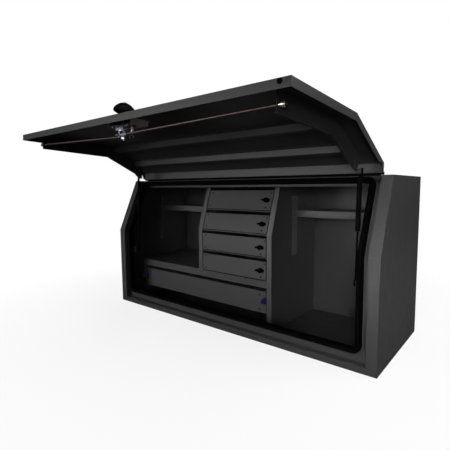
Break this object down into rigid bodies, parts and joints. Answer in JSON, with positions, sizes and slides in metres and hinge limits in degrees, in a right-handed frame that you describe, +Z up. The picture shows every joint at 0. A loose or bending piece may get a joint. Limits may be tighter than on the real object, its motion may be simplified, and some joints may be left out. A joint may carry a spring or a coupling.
{
  "type": "tool chest",
  "caption": "Steel tool chest with a cranked lift-up lid on gas struts, a stack of small latched drawers, a wide bottom drawer and two shelved bays.",
  "frame": {"origin": "centre of the cabinet's base at floor level", "axes": "+X along the cabinet's length to the viewer's right, +Y from the open front to the back, +Z up"},
  "size_m": [1.7, 1.1868, 1.0996],
  "materials": {
    "powder_black": "satin black powder coat",
    "drawer_black": "satin black powder coat",
    "seal_rubber": "matt black rubber bulb",
    "handle_black": "semi-gloss black",
    "latch_black": "black moulded nylon",
    "zinc": "passivated zinc plate",
    "chrome": "bright plated",
    "steel": "bright zinc-plated slide steel",
    "tray_steel": "black powder-coated tray",
    "strut_black": "gloss black cylinder",
    "ram_steel": "black nitrided ram",
    "lever_blue": "blue-grey moulded lever"
  },
  "bodies": {
    "cabinet": {"floor_panel": "powder_black", "rear_panel": "powder_black", "roof_panel": "powder_black", "left_end_panel": "powder_black", "right_end_panel": "powder_black", "left_jamb": "powder_black", "right_jamb": "powder_black", "sill": "powder_black", "header_rail": "powder_black", "door_seal": "seal_rubber", "center_divider": "powder_black", "bank_side_post": "powder_black", "platform_deck": "powder_black", "slide_support_panel": "powder_black", "cross_rails": "powder_black", "left_shelf": "powder_black", "right_shelf": "powder_black", "shelf_brackets": "powder_black", "bank_slide_channels": "steel", "wide_slide_channels": "steel", "hinge_roof_leaf": "powder_black", "hinge_pin": "steel", "strut_foot_brackets": "powder_black"},
    "lid": {"lid_skin": "powder_black", "left_lid_web": "powder_black", "right_lid_web": "powder_black", "lower_lid_rib": "powder_black", "upper_lid_rib": "powder_black", "hinge_lid_leaf": "powder_black", "lock_backing_plate": "zinc", "lock_housing": "chrome", "rod_guides": "latch_black", "lid_bung": "seal_rubber", "strut_head_brackets": "powder_black"},
    "lock_handle": {"lid_handle": "handle_black", "lock_cam": "chrome"},
    "right_rod": {"right_lock_rod": "zinc"},
    "left_rod": {"left_lock_rod": "zinc"},
    "right_ram": {"right_strut_ram": "ram_steel"},
    "right_cylinder": {"right_strut_cylinder": "strut_black"},
    "left_ram": {"left_strut_ram": "ram_steel"},
    "left_cylinder": {"left_strut_cylinder": "strut_black"},
    "fourth_drawer": {"fourth_drawer_front": "drawer_black", "fourth_drawer_tray": "tray_steel"},
    "fourth_latch": {"fourth_drawer_latch": "latch_black"},
    "third_drawer": {"third_drawer_front": "drawer_black", "third_drawer_tray": "tray_steel"},
    "third_latch": {"third_drawer_latch": "latch_black"},
    "second_drawer": {"second_drawer_front": "drawer_black", "second_drawer_tray": "tray_steel"},
    "second_latch": {"second_drawer_latch": "latch_black"},
    "first_drawer": {"first_drawer_front": "drawer_black", "first_drawer_tray": "tray_steel"},
    "first_latch": {"first_drawer_latch": "latch_black"},
    "wide_drawer": {"wide_drawer_front": "drawer_black", "wide_drawer_tray": "tray_steel", "wide_slide_inners": "steel"},
    "wide_middles": {"wide_slide_middles": "steel"},
    "right_lever": {"right_slide_lever": "lever_blue"},
    "left_lever": {"left_slide_lever": "lever_blue"}
  },
  "joints": [
    {"name": "lid_hinge", "type": "hinge", "parent": "cabinet", "child": "lid", "pos_m": [0, -0.1195, 0.808], "axis": [-1, 0, 0], "range_deg": [-93.15, 0], "stiffness_Nm_per_rad": 40, "springref_deg": 171.89},
    {"name": "handle_turn", "type": "hinge", "parent": "lid", "child": "lock_handle", "pos_m": [-0.035, -0.79554, 1.02598], "axis": [0, -0.055, -0.9985], "range_deg": [-90, 0]},
    {"name": "right_rod_slide", "type": "slide", "parent": "lid", "child": "right_rod", "axis": [0.9998, 0.0023, 0.0175], "range_m": [0, 0.02858]},
    {"name": "left_rod_slide", "type": "slide", "parent": "lid", "child": "left_rod", "axis": [-0.9988, -0.0445, 0.0218], "range_m": [0, 0.02858]},
    {"name": "right_strut_pivot", "type": "hinge", "parent": "cabinet", "child": "right_ram", "pos_m": [0.733, -0.243, 0.35], "axis": [-1, 0, 0], "range_deg": [-0.5, 15.38]},
    {"name": "right_strut_slide", "type": "slide", "parent": "right_ram", "child": "right_cylinder", "axis": [0, 0.051, 0.9987], "range_m": [-0.10288, 0.0005]},
    {"name": "left_strut_pivot", "type": "hinge", "parent": "cabinet", "child": "left_ram", "pos_m": [-0.733, -0.243, 0.35], "axis": [-1, 0, 0], "range_deg": [-0.5, 15.38]},
    {"name": "left_strut_slide", "type": "slide", "parent": "left_ram", "child": "left_cylinder", "axis": [0, 0.051, 0.9987], "range_m": [-0.10288, 0.0005]},
    {"name": "fourth_drawer_slide", "type": "slide", "parent": "cabinet", "child": "fourth_drawer", "axis": [0, -1, 0], "range_m": [0, 0.3]},
    {"name": "fourth_latch_turn", "type": "hinge", "parent": "fourth_drawer", "child": "fourth_latch", "pos_m": [0.213, -0.17, 0.32], "axis": [0, 1, 0], "range_deg": [0, 90]},
    {"name": "third_drawer_slide", "type": "slide", "parent": "cabinet", "child": "third_drawer", "axis": [0, -1, 0], "range_m": [0, 0.3]},
    {"name": "third_latch_turn", "type": "hinge", "parent": "third_drawer", "child": "third_latch", "pos_m": [0.213, -0.17, 0.4415], "axis": [0, 1, 0], "range_deg": [0, 90]},
    {"name": "second_drawer_slide", "type": "slide", "parent": "cabinet", "child": "second_drawer", "axis": [0, -1, 0], "range_m": [0, 0.3]},
    {"name": "second_latch_turn", "type": "hinge", "parent": "second_drawer", "child": "second_latch", "pos_m": [0.213, -0.15239, 0.5605], "axis": [0, 0.9516, -0.3075], "range_deg": [0, 90]},
    {"name": "first_drawer_slide", "type": "slide", "parent": "cabinet", "child": "first_drawer", "axis": [0, -1, 0], "range_m": [0, 0.3]},
    {"name": "first_latch_turn", "type": "hinge", "parent": "first_drawer", "child": "first_latch", "pos_m": [0.213, -0.11248, 0.684], "axis": [0, 0.9516, -0.3075], "range_deg": [0, 90]},
    {"name": "wide_drawer_slide", "type": "slide", "parent": "cabinet", "child": "wide_drawer", "axis": [0, -1, 0], "range_m": [0, 0.4]},
    {"name": "wide_middles_slide", "type": "slide", "parent": "cabinet", "child": "wide_middles", "axis": [0, -1, 0], "range_m": [0, 0.2]},
    {"name": "right_lever_turn", "type": "hinge", "parent": "wide_drawer", "child": "right_lever", "pos_m": [0.2275, -0.149, 0.165], "axis": [1, 0, 0], "range_deg": [0, 12]},
    {"name": "left_lever_turn", "type": "hinge", "parent": "wide_drawer", "child": "left_lever", "pos_m": [-0.7405, -0.149, 0.165], "axis": [1, 0, 0], "range_deg": [0, 12]}
  ],
  "couplings": [
    {"joint": "right_rod_slide", "follows": "handle_turn", "m_per_rad": -0.018006},
    {"joint": "left_rod_slide", "follows": "handle_turn", "m_per_rad": -0.018006},
    {"joint": "right_strut_pivot", "follows": "lid_hinge", "ratio": -0.15978},
    {"joint": "right_strut_slide", "follows": "lid_hinge", "m_per_rad": 0.06297},
    {"joint": "left_strut_pivot", "follows": "lid_hinge", "ratio": -0.15978},
    {"joint": "left_strut_slide", "follows": "lid_hinge", "m_per_rad": 0.06297},
    {"joint": "wide_middles_slide", "follows": "wide_drawer_slide", "ratio": 0.5}
  ]
}
